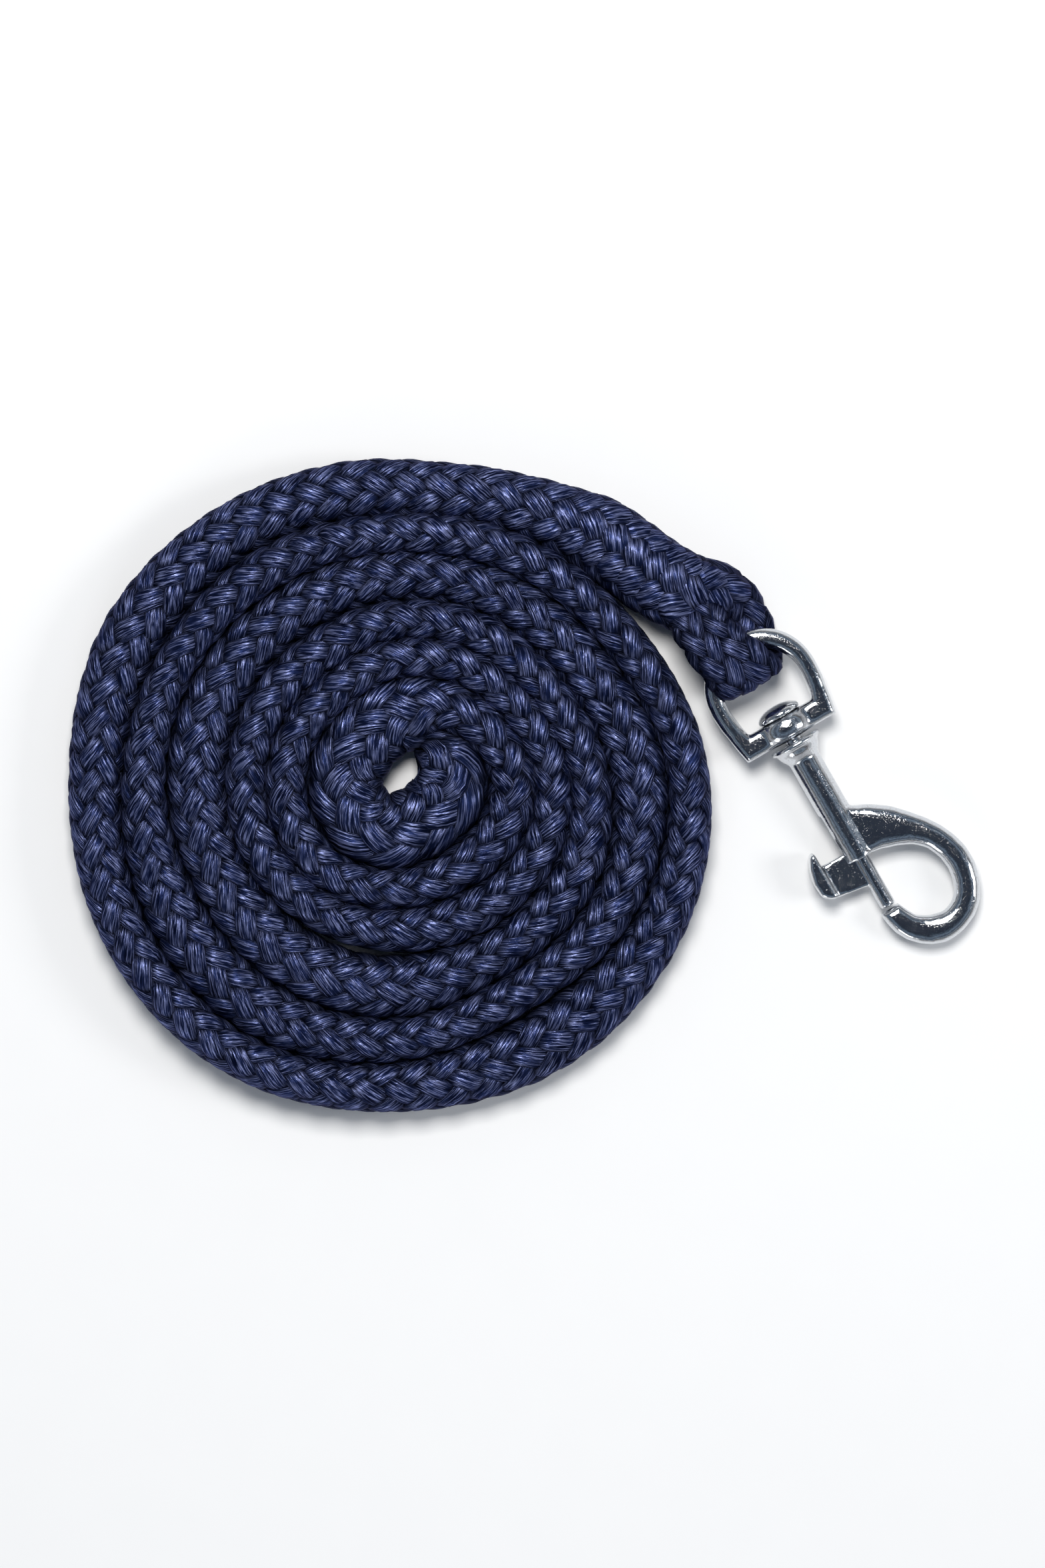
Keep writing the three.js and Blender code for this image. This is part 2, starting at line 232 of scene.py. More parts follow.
# %% [markdown]
# At every step the rope has a direction, a side vector, and a vector through its thickness, square to both.
# Through the loop the side vector stays across the snap, and in the coil it lies flat on the floor. Where
# the rope is level both agree. In the coil the third vector points down.
# %% The rope's sides
LOOP_PART = 95.0

heading = np.gradient(line[:, :3], axis=0)
heading /= np.linalg.norm(heading, axis=1)[:, None]
in_loop = line_at < LOOP_PART
across_axis = np.array([0.0, 1.0, 0.0])
side = np.stack([heading[:, 1], -heading[:, 0], np.zeros(len(heading))], axis=1)
side[in_loop] = across_axis - (heading[in_loop] @ across_axis)[:, None] * heading[in_loop]
side /= np.linalg.norm(side, axis=1)[:, None]
through = np.cross(heading, side)
turns_of_lay = np.concatenate([[0], np.cumsum(FINE_STEP / line[:-1, 5])])
print("turns of the strands along the rope", round(float(turns_of_lay[-1]), 2))

# %% [markdown]
# The rope's cross-section is a rounded rectangle that is squeezed or spread. Strands keep an even distance
# round it whatever its shape, so a table turns "this share of the way round" into an angle, for sections
# from very flat to very tall.
# %% The rope's section
SQUARENESS = 2.7
FLAT_SECTION, TALL_SECTION, SECTIONS = 0.2, 2.0, 48
ASPECTS = np.exp(np.linspace(math.log(FLAT_SECTION), math.log(TALL_SECTION), SECTIONS))
SHARES = 360
STEPS_ROUND = 1440


def round_corner(value):
    """A cosine or sine, pushed out so that a circle becomes a rounded rectangle."""
    return np.sign(value) * np.abs(value) ** (2 / SQUARENESS)


around = np.linspace(0, 2 * math.pi, STEPS_ROUND + 1)
share_table = np.empty((len(ASPECTS), SHARES + 1))
perimeters = np.empty(len(ASPECTS))
for row, aspect in enumerate(ASPECTS):
    x, y = round_corner(np.cos(around)), aspect * round_corner(np.sin(around))
    reach = np.concatenate([[0], np.cumsum(np.hypot(np.diff(x), np.diff(y)))])
    perimeters[row] = reach[-1]
    share_table[row] = np.interp(np.linspace(0, reach[-1], SHARES + 1), reach, around)


def section_angle(aspect, share):
    """The angle that lies a share of the way round a section, read from the table."""
    row = np.interp(np.log(aspect), np.log(ASPECTS), np.arange(len(ASPECTS)))
    low = np.minimum(row.astype(int), len(ASPECTS) - 2)
    column = (share % 1.0) * SHARES
    left = np.minimum(column.astype(int), SHARES - 1)
    fr, fc = row - low, column - left
    top = share_table[low, left] * (1 - fc) + share_table[low, left + 1] * fc
    below = share_table[low + 1, left] * (1 - fc) + share_table[low + 1, left + 1] * fc
    return top * (1 - fr) + below * fr


print("perimeter of a round section over its half width", round(float(np.interp(1, ASPECTS, perimeters)), 3))

# %% [markdown]
# A point on the rope's skin is named by two numbers: how far along the rope it is, and what share of the
# way round. A third lifts it off the skin. Both ends of the rope are closed in a quarter circle.
# %% The rope's skin
END_ROUND = 9.0
LEAST_HALF = 0.01
BLUNT = 0.05


def end_rounding(along):
    """1 along the rope, falling to 0 at its two ends in a quarter circle."""
    left = np.clip(np.minimum(along, ROPE_LENGTH - along) / END_ROUND, 0, 1)
    return np.sqrt(1 - (1 - left) ** 2)


def skin(along, share, height, inset):
    """Points that lie height (mm) above the rope's skin, which is drawn in by inset (mm)."""
    along = np.clip(along, 0, ROPE_LENGTH)
    place = [np.interp(along, line_at, line[:, k]) for k in range(3)]
    side_at = [np.interp(along, line_at, side[:, k]) for k in range(3)]
    through_at = [np.interp(along, line_at, through[:, k]) for k in range(3)]
    rounding = end_rounding(along)
    wide = (np.interp(along, line_at, line[:, 3]) - inset) * rounding
    tall = (np.interp(along, line_at, line[:, 4]) - inset) * rounding
    angle = section_angle((tall + LEAST_HALF) / (wide + LEAST_HALF), share)
    c, s = np.cos(angle), np.sin(angle)
    x, y = wide * round_corner(c), tall * round_corner(s)
    nx = np.sign(c) * np.abs(c) ** (2 - 2 / SQUARENESS) / (wide + BLUNT)
    ny = np.sign(s) * np.abs(s) ** (2 - 2 / SQUARENESS) / (tall + BLUNT)
    long = np.hypot(nx, ny)
    x, y = x + height * nx / long, y + height * ny / long
    return np.stack([(place[k] + x * side_at[k] + y * through_at[k]) * MM for k in range(3)], axis=-1)


skin_top = skin(np.array([1000.0]), np.array([0.75]), 0.0, 0.0)[0]
print("top of the skin a metre along", [round(float(x), 4) for x in skin_top])

# %% [markdown]
# Eight strands run one way round and eight the other. Each goes over two and under two, which makes the
# herringbone of a solid-looking braid. A strand is a flat bundle of hundreds of untwisted filaments: it
# swells where it lies on top and is pinched where it dives. It could be a bevelled curve, but a curve's
# section can't widen one way only, so each strand is a grid wrapped round, placed by the skin above.
# %% The braid's pattern
STRANDS = 8
CROSSINGS = 2 * STRANDS
START_OF_CROSSING = 0.5
RING_STEP = 1.9
AROUND = 10
rings = int(ROPE_LENGTH / RING_STEP) + 1
STRETCH_APART = 0.37
draw = np.random.default_rng(7)


def along_line(along, values):
    """A value of the centreline, read at places along it."""
    return np.interp(along, line_at, values)


def wander(along, size, stretch, seeds):
    """A slow, seeded wobble along the rope."""
    total = np.zeros_like(along)
    for k, phase in enumerate(seeds):
        total += np.sin(along / (stretch * (1 + STRETCH_APART * k)) + phase)
    return size * total / len(seeds)


def over_and_under(number, turning, laid):
    """From 1 where a strand lies on top of the braid to -1 where it is underneath."""
    phase = math.pi / 2 * (2 * number + turning * CROSSINGS * laid - START_OF_CROSSING)
    return turning * np.cos(phase)


print("rings of each strand", rings)

# %% [markdown]
# The strand's own shape. Its section is a flattened ellipse that leans with the lay. Each point also gets
# a value for painted shade, from 1 on top of a float to 0 where a strand dives, at its edges and down the
# flanks of the rope, where the light doesn't get in. The finish uses it later to paint that shade into the
# colour.
# %% One strand
STRAND_HALF_WIDTH = 3.1
STRAND_HALF_THICK = 1.1
FULL_STRAND_AT = 47.0
SKIN_INSET = 2.0
STRAND_LEVEL = 0.9
WAVE = 1.15
STEEPNESS = 1.5
BULGE_WIDE, BULGE_THICK = 0.09, 0.14
BOXY = 0.8
END_WIDTH, END_THICKNESS = 0.22, 0.5
# size and stretch of the wobble of each strand's place, width and height (mm, the first as a share)
WOBBLES = ((0.006, 9), (0.07, 6), (0.12, 7))
# where the painted shade of a dive begins and how far it runs; how much painted shade falls at a strand's
# edges and down the rope's flanks, between the coil's turns
DIVE_FROM, DIVE_OVER = 0.10, 0.90
EDGE_SHADE, EDGE_POWER = 0.8, 4
FLANK_SHADE, FLANK_POWER = 0.75, 8
CM = 10


def strand_points(number, turning):
    """The points of one strand: rings by places round. turning is 1 or -1."""
    along = np.linspace(0, ROPE_LENGTH, rings)[:, None]
    seeds = draw.uniform(0, 2 * math.pi, (3, 3))
    sway, swell, bob = (wander(along, *wobble, seed) for wobble, seed in zip(WOBBLES, seeds))
    laid = along_line(along, turns_of_lay)
    rise = over_and_under(number, turning, laid)
    over = np.tanh(STEEPNESS * rise) / math.tanh(STEEPNESS)
    share = number / STRANDS + turning * laid + sway
    wide, tall = along_line(along, line[:, 3]), along_line(along, line[:, 4])
    whole = wide * np.interp(tall / wide, ASPECTS, perimeters) * STRAND_LEVEL
    slant = np.arctan(whole / along_line(along, line[:, 5]))
    rounding = np.clip(end_rounding(along), END_WIDTH, 1)
    full = (whole / FULL_STRAND_AT) * rounding
    half_width = STRAND_HALF_WIDTH * full * (1 + BULGE_WIDE * over + swell)
    half_thick = STRAND_HALF_THICK * (1 + BULGE_THICK * over) * np.clip(rounding, END_THICKNESS, 1)
    angle = np.linspace(0, 2 * math.pi, AROUND, endpoint=False)[None, :]
    out_side = half_width * np.cos(angle)
    out_up = half_thick * np.sign(np.sin(angle)) * np.abs(np.sin(angle)) ** BOXY
    height = WAVE * over + out_up + bob
    skin_along = along - turning * out_side * np.sin(slant)
    skin_share = share + out_side * np.cos(slant) / whole
    points = skin(skin_along, skin_share, height * rounding, SKIN_INSET)
    return points, along / CM, painted_shading_of(rise, angle, skin_share)


def painted_shading_of(rise, angle, share):
    """Painted shade of a strand: 1 on the crown of a float, 0 where it dives, at its edges and down the
    rope's flanks.
    """
    shown = np.clip((rise + DIVE_FROM) / DIVE_OVER, 0, 1)
    crown = shown * shown * (3 - 2 * shown)
    edge = 1 - EDGE_SHADE * np.abs(np.cos(angle)) ** EDGE_POWER
    flank_shade = 1 - FLANK_SHADE * np.abs(np.cos(2 * math.pi * share)) ** FLANK_POWER
    return crown * edge * flank_shade


print("a strand is", 2 * STRAND_HALF_WIDTH, "by", 2 * STRAND_HALF_THICK, "mm")

# %% [markdown]
# A set is all the strands that run one way. Each is a grid of rings by places round, whose points are moved
# to the strand's shape; the seam is merged and the two ends are filled, so the strand is a closed skin.
# Its map, how far along in centimetres and how far round, goes on before the seam is merged.
# %% The two sets of strands
SEAM = 1e-7
HALF_GRID = 0.5


def as_piece(name, made, smooth=True):
    """A bmesh as an object of the scene."""
    mesh = bpy.data.meshes.new(name)
    made.to_mesh(mesh)
    made.free()
    mesh.polygons.foreach_set("use_smooth", [smooth] * len(mesh.polygons))
    piece = bpy.data.objects.new(name, mesh)
    bpy.context.scene.collection.objects.link(piece)
    triangles = sum(len(p.vertices) - 2 for p in mesh.polygons)
    print(name, len(mesh.vertices), "points", triangles, "triangles")
    return piece


def wrapped_grid(ring_count, places):
    """A grid to be wrapped round, and for each of its points the ring and the place round."""
    grid = bmesh.new()
    bmesh.ops.create_grid(grid, x_segments=ring_count - 1, y_segments=places, size=HALF_GRID)
    where = []
    for vertex in grid.verts:
        ring = round((vertex.co.x + HALF_GRID) * (ring_count - 1))
        place = round((vertex.co.y + HALF_GRID) * places)
        where.append((ring, place))
    return grid, where


def close_tube(grid, seam):
    """Merges the seam of a wrapped grid and fills its two ends."""
    bmesh.ops.remove_doubles(grid, verts=grid.verts, dist=seam)
    ends = [edge for edge in grid.edges if edge.is_boundary]
    bmesh.ops.holes_fill(grid, edges=ends, sides=0)


def add_to(made, other):
    """Adds one bmesh to another, layers and all."""
    mesh = bpy.data.meshes.new("joined")
    other.to_mesh(mesh)
    other.free()
    made.from_mesh(mesh)
    bpy.data.meshes.remove(mesh)


def strand_set(name, turning):
    """One object with all the strands that run one way round."""
    made = bmesh.new()
    made.loops.layers.uv.new("strand")
    # each point's painted shade, which the finish reads
    made.verts.layers.float.new("crest")
    for number in range(STRANDS):
        points, run, crest = strand_points(number, turning)
        grid, where = wrapped_grid(rings, AROUND)
        grid_uv = grid.loops.layers.uv.new("strand")
        grid_painted_shading = grid.verts.layers.float.new("crest")
        for vertex, (ring, place) in zip(grid.verts, where):
            vertex.co = points[ring, place % AROUND]
            vertex[grid_painted_shading] = crest[ring, place % AROUND]
            for loop in vertex.link_loops:
                loop[grid_uv].uv = (run[ring, 0], number + place / AROUND)
        close_tube(grid, SEAM)
        add_to(made, grid)
    bmesh.ops.recalc_face_normals(made, faces=made.faces)
    return as_piece(name, made)


strands_right = strand_set("rope_strands_right", 1)
strands_left = strand_set("rope_strands_left", -1)

# %% [markdown]
# Behind the strands the braid is full of its own dark inside. A plain tube a little under the strands
# stands for it, so that no light shows through where two strands part.
# %% The inside of the braid
CORE_STEP = 2.6
CORE_AROUND = 14
CORE_INSET = SKIN_INSET + 0.5
CORE_SEAM = 1e-6

core_rings = int(ROPE_LENGTH / CORE_STEP) + 1
core_along = np.linspace(0, ROPE_LENGTH, core_rings)
core_share = np.arange(CORE_AROUND) / CORE_AROUND
core_points = skin(core_along[:, None], core_share[None, :], 0.0, CORE_INSET)
core, core_where = wrapped_grid(core_rings, CORE_AROUND)
for vertex, (ring, place) in zip(core.verts, core_where):
    vertex.co = core_points[ring, place % CORE_AROUND]
close_tube(core, CORE_SEAM)
bmesh.ops.recalc_face_normals(core, faces=core.faces)
rope_inside = as_piece("rope_inside", core)

# %% [markdown]
# The strands and the inside are one free cord, from the bow of the eye to its bare end. All of it rides on
# the rope's body, and the CAD's own rope nodes are hidden.
for piece in (strands_right, strands_left, rope_inside):
    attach(piece, "rope")
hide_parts("rope_coil", "rope_lead", "rope_splice", "rope_eye")

# %% [markdown]
# Materials. Shader maths reads best as plain sums, so a small class wraps a socket and turns an expression
# into Math nodes. Every other kind of node comes from one method that takes its type, its settings and
# what goes into its sockets.
# %% Sums for materials


class Term:
    """A number that is worked out by the shader."""

    def __init__(self, nodes, socket):
        self.nodes, self.socket = nodes, socket

    def sum(self, operation, first, second):
        return self.nodes.node("ShaderNodeMath", {"operation": operation}, {0: first, 1: second})

    def __add__(self, other):
        return self.sum("ADD", self, other)

    def __sub__(self, other):
        return self.sum("SUBTRACT", self, other)

    def __rsub__(self, other):
        return self.sum("SUBTRACT", other, self)

    def __mul__(self, other):
        return self.sum("MULTIPLY", self, other)

    __radd__, __rmul__ = __add__, __mul__


class Nodes:
    """A node tree that is filled node by node."""

    def __init__(self, tree):
        self.tree = tree
        self.tree.nodes.clear()

    def node(self, kind, settings=None, sockets=None, output=0):
        """One node: its type, its settings, what goes into its sockets, and which output is wanted."""
        made = self.tree.nodes.new(kind)
        for name, value in (settings or {}).items():
            if name == "stops":
                self.stops(made.color_ramp, value)
            else:
                setattr(made, name, value)
        for name, value in (sockets or {}).items():
            if isinstance(value, Term):
                self.tree.links.new(value.socket, made.inputs[name])
            else:
                made.inputs[name].default_value = value
        return Term(self, made.outputs[output]) if made.outputs else None

    def stops(self, ramp, stops):
        """The places and colours of a colour ramp."""
        while len(ramp.elements) < len(stops):
            ramp.elements.new(0.5)
        for element, (position, colour) in zip(ramp.elements, stops):
            element.position, element.color = position, colour


print("sums for materials ready")

# %% [markdown]
# A finish is one material. Four things come again and again in it, so each has a method: noise, a range of
# a value stretched to run from 0 to 1, two colours mixed, and a relief.
# %% A helper for finishes


class Finish(Nodes):
    """One material, built node by node."""

    def __init__(self, name):
        self.material = bpy.data.materials.new(name)
        self.material.use_nodes = True
        super().__init__(self.material.node_tree)

    def place(self):
        """Where a point is on the piece, in metres."""
        return self.node("ShaderNodeTexCoord", output=3)

    def noise(self, place, scale, detail, roughness=0.5):
        """Soft random light and dark. The scale is how often it changes in a metre."""
        sockets = {"Vector": place, "Scale": scale, "Detail": detail, "Roughness": roughness}
        return self.node("ShaderNodeTexNoise", None, sockets)

    def stretch(self, value, low, high):
        """0 below low, 1 above high, and a straight slope between."""
        return self.node("ShaderNodeMapRange", None, {"Value": value, 1: low, 2: high, 3: 0.0, 4: 1.0})

    def blend(self, factor, first, second):
        """Two colours mixed by a factor."""
        return self.node("ShaderNodeMix", {"data_type": "RGBA"}, {0: factor, 6: first, 7: second}, 2)

    def bump(self, height, strength, distance):
        """A relief, which tilts the light on the surface but leaves its shape alone."""
        return self.node(
            "ShaderNodeBump", None, {"Height": height, "Strength": strength, "Distance": distance}
        )

    def surface(self, **sockets):
        """The shader with its sockets, and the material's output."""
        sockets = {name.replace("_", " "): value for name, value in sockets.items()}
        shader = self.node("ShaderNodeBsdfPrincipled", None, sockets)
        self.node("ShaderNodeOutputMaterial", None, {"Surface": shader})
        return self.material


print("finishes ready")

# %% [markdown]
# Navy polypropylene multifilament. Each strand is a brush of fine, glossy filaments that lie side by side,
# so its light comes as streaks along the strand. The strands carry their own map: how far along the rope
# in centimetres, and how far round the strand. Noise that is long one way and fine the other draws the
# filaments, in the colour, in the gloss and in the relief. The brightest filaments get a painted glint, a
# pale blue that the metal share also lends to their reflection. A painted shade darkens the colour where a
# strand dives, at its edges and down the rope's flanks.
# %% The rope's finish
NAVY_SHADE = (0.002, 0.003, 0.008, 1)
NAVY_DEEP = (0.002, 0.004, 0.018, 1)
NAVY = (0.020, 0.033, 0.112, 1)
# a painted glint for the brightest filaments; with the metal share it also tints their reflection
NAVY_GLINT = (0.300, 0.340, 0.620, 1)
EDGE_TINT = (0.22, 0.27, 0.52, 1)
FILAMENT_LEAN = 0.018
# how often a filament, and a tuft of filaments, changes along each centimetre and round each strand
FILAMENT = (2.2, 50.0, 0.0)
TUFT = (1.3, 13.0, 3.7)
# how much the filaments and the tufts count in the colour, and in the relief
IN_COLOUR = (0.65, 0.35)
IN_RELIEF = (0.7, 0.6)
STREAK_RANGE = (0.38, 0.62)
# which filaments get the painted glint
GLINT_RANGE = (0.48, 0.74)
RELIEF_DEPTH = 0.0006


def streaks(paint, along, lean, pattern, detail, roughness=0.5):
    """Noise drawn out along the strand."""
    along_often, round_often, shift = pattern
    place = paint.node(
        "ShaderNodeCombineXYZ", None, {0: along * along_often, 1: lean * round_often, 2: shift}
    )
    return paint.noise(place, 1.0, detail, roughness)


def braid_finish():
    """The material of the strands."""
    paint = Finish("navy multifilament")
    uv = paint.node("ShaderNodeUVMap", {"uv_map": "strand"})
    along = paint.node("ShaderNodeSeparateXYZ", None, {0: uv}, 0)
    across = paint.node("ShaderNodeSeparateXYZ", None, {0: uv}, 1)
    lean = across + along * FILAMENT_LEAN
    fine = streaks(paint, along, lean, FILAMENT, 2.0, 0.55)
    broad = streaks(paint, along, lean, TUFT, 1.0)
    streak = paint.stretch(fine * IN_COLOUR[0] + broad * IN_COLOUR[1], *STREAK_RANGE)
    body = paint.blend(streak, NAVY_DEEP, NAVY)
    # painted glints on the brightest filaments
    lit_body = paint.blend(paint.stretch(fine, *GLINT_RANGE), body, NAVY_GLINT)
    # painted shade where a strand dives, at its edges and down the rope's flanks
    crest = paint.node("ShaderNodeAttribute", {"attribute_name": "crest"}, None, 2)
    return paint.surface(
        Base_Color=paint.blend(crest, NAVY_SHADE, lit_body),
        Metallic=0.65,
        Roughness=0.40 - streak * 0.10,
        Specular_IOR_Level=0.15,
        Specular_Tint=EDGE_TINT,
        Normal=paint.bump(fine * IN_RELIEF[0] + broad * IN_RELIEF[1], 1.0, RELIEF_DEPTH),
    )


braid_material = braid_finish()
for piece in (strands_right, strands_left):
    piece.data.materials.append(braid_material)
print("nodes of the rope's finish", len(braid_material.node_tree.nodes))

# %% [markdown]
# The inside is the same yarn, but matt and nearly black, because hardly any light reaches it.
# %% The inside's finish
INSIDE_DARK = (0.001, 0.0015, 0.005, 1)
INSIDE_LIGHT = (0.004, 0.006, 0.018, 1)
# how often the grain changes in a metre, and its detail
INSIDE_GRAIN = (900.0, 3.0)


def inside_finish():
    """The material of the tube behind the strands."""
    paint = Finish("navy inside of the braid")
    grain = paint.noise(paint.place(), *INSIDE_GRAIN)
    colour = paint.blend(grain, INSIDE_DARK, INSIDE_LIGHT)
    return paint.surface(Base_Color=colour, Roughness=0.8, Normal=paint.bump(grain, 0.5, 0.0003))


rope_inside.data.materials.append(inside_finish())
print("inside finished")

# %% [markdown]
# Nickel plate on a zinc casting: mirror bright, but the casting's skin under it ripples and is pitted. Four
# noises draw it: fine ripples, pits about half a millimetre wide, a haze of handling, and uneven swells.
# %% The nickel finish
NICKEL = (0.64, 0.66, 0.69, 1)
NICKEL_PIT = (0.26, 0.24, 0.23, 1)
# how often each noise changes in a metre, and its detail
RIPPLES, PITS, HAZE, SWELLS = (700.0, 3.0), (2600.0, 2.0), (160.0, 2.0), (190.0, 1.0)
PIT_RANGE = (0.58, 0.80)
PLATING_DEPTH = 0.00012


def nickel_finish():
    """The material of the four castings."""
    paint = Finish("nickel plate")
    place = paint.place()
    ripple = paint.noise(place, *RIPPLES)
    pit = paint.stretch(paint.noise(place, *PITS), *PIT_RANGE)
    haze = paint.noise(place, *HAZE)
    swell = paint.noise(place, *SWELLS)
    return paint.surface(
        Base_Color=paint.blend(pit, NICKEL, NICKEL_PIT),
        Metallic=1.0,
        Roughness=0.05 + haze * 0.12 + pit * 0.2,
        Normal=paint.bump(ripple - pit * 0.35 + swell * 2.2, 0.5, PLATING_DEPTH),
    )


nickel = nickel_finish()
print("nodes of the nickel finish", len(nickel.node_tree.nodes))

# %% [markdown]
# Spring wire is drawn through a die, so it is grey, even and only half bright.
# %% The spring's finish
STEEL_DARK = (0.30, 0.29, 0.28, 1)
STEEL_LIGHT = (0.50, 0.49, 0.48, 1)
WIRE_GRAIN = (1500.0, 2.0)


def spring_finish():
    """The material of the bolt's spring."""
    paint = Finish("spring steel")
    grain = paint.noise(paint.place(), *WIRE_GRAIN)
    return paint.surface(
        Base_Color=paint.blend(grain, STEEL_DARK, STEEL_LIGHT),
        Metallic=1.0,
        Roughness=0.28 + grain * 0.15,
        Normal=paint.bump(grain, 0.2, 0.0001),
    )


steel = spring_finish()
print("nodes of the spring's finish", len(steel.node_tree.nodes))

# %% [markdown]
# The snap lies a little tilted, so its parts are easiest to describe along and across the snap itself. One
# matrix takes a place in the snap's own millimetres to the scene, and its inverse takes it back.
# %% The snap's own measure
snap_along = Vector(joints["swivel"]["axis"]).normalized()
snap_across = Vector((0, 1, 0))
snap_up = snap_along.cross(snap_across)
snap_turn = Matrix((snap_along, snap_across, snap_up)).transposed().to_4x4()
snap_place = Matrix.Translation(swivel_at) @ snap_turn @ Matrix.Scale(MM, 4)
snap_measure = snap_place.inverted()
print("the snap is tilted by", round(math.degrees(math.asin(-snap_along.z)), 2), "degrees")

# %% [markdown]
# In places a casting is worn and polished rounder than its solid: the hook's throat and web, the corners of
# the eye's base bar, the bolt's thumb pad. There the skin is relaxed more. Relaxing draws it in, so it is
# swelled a little first.
# %% Softer places
SOFTER = {
    # node: how deep in the region a point is (mm), times relaxed, swell (m)
    "hook_body": (lambda p: min(p.y - 6.2, p.x - 14), 42, 0.00042),
    "swivel_eye": (lambda p: max(-10.6 - p.x, 8.4 - abs(p.y)), 24, 0.00030),
    "bolt": (lambda p: -8.6 - p.y, 16, 0.00012),
}
SWELLED_WITHIN = 3


def soften(made, node):
    """Rounds the softer region of a casting."""
    depth, times, swell = SOFTER[node]
    depths = {vertex: depth(snap_measure @ vertex.co) for vertex in made.verts}
    region = [vertex for vertex in made.verts if depths[vertex] > 0]
    for vertex in region:
        vertex.co += vertex.normal * swell * min(1, depths[vertex] / SWELLED_WITHIN)
    for _ in range(times):
        bmesh.ops.smooth_vert(
            made, verts=region, factor=0.5, use_axis_x=True, use_axis_y=True, use_axis_z=True
        )
    print(node, "softened at", len(region), "points")


print("castings with softer places", sorted(SOFTER))

# %% [markdown]
# The middle of the eye's base bar swells to a boss, where the rivet goes through. It is a ball squeezed to
# an ellipsoid and cut flat at both faces of the bar.
# %% The eye's boss
BOSS_SIZE = (5.6, 7.8, 5.5)
BOSS_HALF_LENGTH = 3.5
BOSS_MIDDLE = (-5.6, 0, 0)
BOSS_SIDES, BOSS_BANDS = 48, 32


def eye_boss(source):
    """Adds the boss to the eye's solid."""
    boss = bmesh.new()
    bmesh.ops.create_uvsphere(boss, u_segments=BOSS_SIDES, v_segments=BOSS_BANDS, radius=1)
    bmesh.ops.scale(boss, verts=boss.verts, vec=BOSS_SIZE)
    for way in (-1, 1):
        whole = boss.verts[:] + boss.edges[:] + boss.faces[:]
        face = (way * BOSS_HALF_LENGTH, 0, 0)
        cut = bmesh.ops.bisect_plane(boss, geom=whole, plane_co=face, plane_no=(way, 0, 0), clear_outer=True)
        bmesh.ops.holes_fill(boss, edges=[e for e in cut["geom_cut"] if isinstance(e, bmesh.types.BMEdge)])
    bmesh.ops.transform(boss, verts=boss.verts, matrix=snap_place @ Matrix.Translation(BOSS_MIDDLE))
    add_to(source, boss)


print("boss", 2 * BOSS_HALF_LENGTH, "mm long")

# %% [markdown]
# The snap's four castings. A casting has no sharp edge anywhere: the mould's corners are eased and the
# plating rounds them more. The CAD solids have the right shape but flat facets, so a copy of each is merged,
# rebuilt as an even skin of small squares, and that skin is relaxed until the facets are gone.
# %% The castings
CASTINGS = {
    # node: (size of the squares in metres, times relaxed)
    "hook_body": (0.00036, 9),
    "bolt": (0.00030, 6),
    "swivel_eye": (0.00036, 9),
    "swivel_rivet": (0.00028, 8),
}
SAME_POINT = 2e-6
HALF_WAY = 0.5


def smooth_skin(rough, square, relaxed):
    """The evenly meshed and relaxed skin of a rough object, as a bmesh. The object is removed."""
    remesh = rough.modifiers.new("even skin", "REMESH")
    remesh.mode, remesh.voxel_size = "VOXEL", square
    relax = rough.modifiers.new("relaxed", "SMOOTH")
    relax.factor, relax.iterations = HALF_WAY, relaxed
    made = bmesh.new()
    made.from_object(rough, bpy.context.evaluated_depsgraph_get())
    bpy.data.objects.remove(rough)
    return made


def casting(node, square, relaxed):
    """The piece that stands for one of the snap's cast nodes."""
    source = bmesh.new()
    source.from_mesh(frame["nodes"][node].data)
    bmesh.ops.remove_doubles(source, verts=source.verts, dist=SAME_POINT)
    if node == "swivel_eye":
        eye_boss(source)
    made = smooth_skin(as_piece(node + "_copy", source), square, relaxed)
    if node in SOFTER:
        soften(made, node)
    piece = as_piece(node + "_cast", made)
    piece.data.materials.append(nickel)
    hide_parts(node)
    return piece


cast = {node: casting(node, *how) for node, how in CASTINGS.items()}
for node, piece in cast.items():
    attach(piece, frame["nodes"][node]["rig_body"])
print("castings", {node: len(piece.data.polygons) for node, piece in cast.items()})

# %% [markdown]
# The bolt's spring is out of sight in the barrel. A spring is a round wire's section spun round an axis and
# moved along it a little at each step, so one spin makes it. It takes its length and width from the solid.
# %% The bolt's spring
SPRING_TURNS = 6.5
SPRING_STEPS = 156
WIRE_RADIUS = 0.35
WIRE_SIDES = 8

spring_places = [snap_measure @ vertex.co for vertex in frame["nodes"]["bolt_spring"].data.vertices]
spring_from = min(place.x for place in spring_places)
spring_to = max(place.x for place in spring_places)
spring_radius = max(math.hypot(place.y, place.z) for place in spring_places) - WIRE_RADIUS
spring_length = spring_to - spring_from
wire = bmesh.new()
bmesh.ops.create_circle(wire, segments=WIRE_SIDES, radius=WIRE_RADIUS)
bmesh.ops.translate(wire, verts=wire.verts, vec=(spring_from + WIRE_RADIUS, spring_radius, 0))
bmesh.ops.spin(
    wire,
    geom=wire.verts[:] + wire.edges[:],
    cent=(0, 0, 0),
    axis=(1, 0, 0),
    dvec=((spring_length - 2 * WIRE_RADIUS) / SPRING_STEPS, 0, 0),
    angle=2 * math.pi * SPRING_TURNS,
    steps=SPRING_STEPS,
    use_merge=False,
)
bmesh.ops.holes_fill(wire, edges=[edge for edge in wire.edges if edge.is_boundary])
bmesh.ops.recalc_face_normals(wire, faces=wire.faces)
bmesh.ops.transform(wire, verts=wire.verts, matrix=snap_place)
spring = as_piece("bolt_spring_wire", wire)
spring.data.materials.append(steel)

